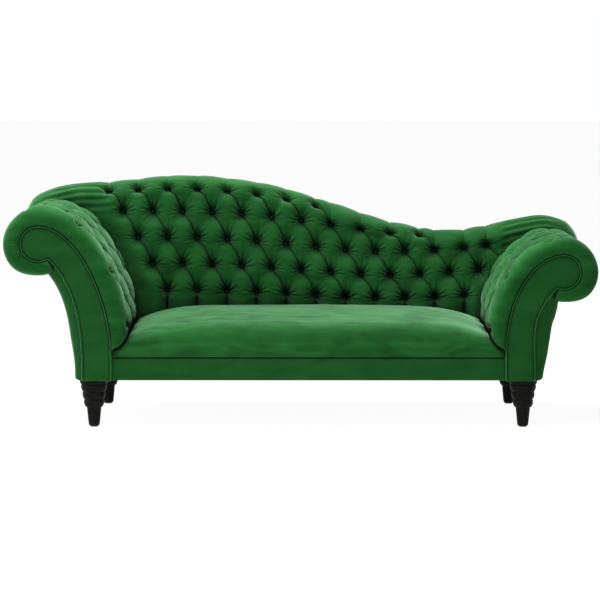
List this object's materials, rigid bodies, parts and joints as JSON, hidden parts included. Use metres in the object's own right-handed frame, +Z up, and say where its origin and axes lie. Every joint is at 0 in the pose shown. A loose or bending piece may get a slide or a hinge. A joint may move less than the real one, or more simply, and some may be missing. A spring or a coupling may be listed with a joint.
{
  "type": "fainting couch",
  "caption": "Deep-buttoned velvet fainting couch with scrolled arms of unequal height, a back that falls from a hump to a dip, and turned legs.",
  "frame": {"origin": "middle of the couch's footprint, on the floor", "axes": "+X along the couch to the low arm, +Y from the seat's front to the back, +Z up"},
  "size_m": [2.1987, 0.81, 0.906],
  "materials": {
    "green_velvet": "emerald cotton velvet with a short, directional pile",
    "ebonised_wood": "turned hardwood stained black under a satin lacquer",
    "beech": "planed beech, unfinished",
    "bent_board": "bent plywood, unfinished",
    "zinc_steel": "zinc-plated steel wire and fasteners",
    "black_plastic": "moulded nylon glides",
    "black_cloth": "spun-bonded dust cloth",
    "grey_felt": "needled felt",
    "jute_webbing": "woven jute webbing"
  },
  "bodies": {
    "root": {"front_rail": "beech", "rear_rail": "beech", "left_side_rail": "beech", "right_side_rail": "beech", "cross_rails": "beech", "corner_blocks": "beech", "block_screws": "zinc_steel", "seat_springs": "zinc_steel", "spring_clips": "zinc_steel", "spring_felt": "grey_felt", "seat_pad": "green_velvet", "front_border": "green_velvet", "dust_cover": "black_cloth", "front_left_leg": "ebonised_wood", "front_right_leg": "ebonised_wood", "rear_left_leg": "ebonised_wood", "rear_right_leg": "ebonised_wood", "leg_bolts": "zinc_steel", "tee_nuts": "zinc_steel", "leg_glides": "black_plastic", "left_front_scroll_board": "beech", "left_rear_scroll_board": "beech", "left_arm_rail": "beech", "left_arm_lining": "bent_board", "left_arm_pad": "green_velvet", "left_arm_buttons": "green_velvet", "left_facing": "green_velvet", "left_facing_piping": "green_velvet", "left_outside_arm": "green_velvet", "right_front_scroll_board": "beech", "right_rear_scroll_board": "beech", "right_arm_rail": "beech", "right_arm_lining": "bent_board", "right_arm_pad": "green_velvet", "right_arm_buttons": "green_velvet", "right_facing": "green_velvet", "right_facing_piping": "green_velvet", "right_outside_arm": "green_velvet", "back_uprights": "beech", "back_top_rail": "beech", "back_webbing": "jute_webbing", "back_pad": "green_velvet", "back_buttons": "green_velvet", "outside_back": "green_velvet"}
  },
  "joints": []
}
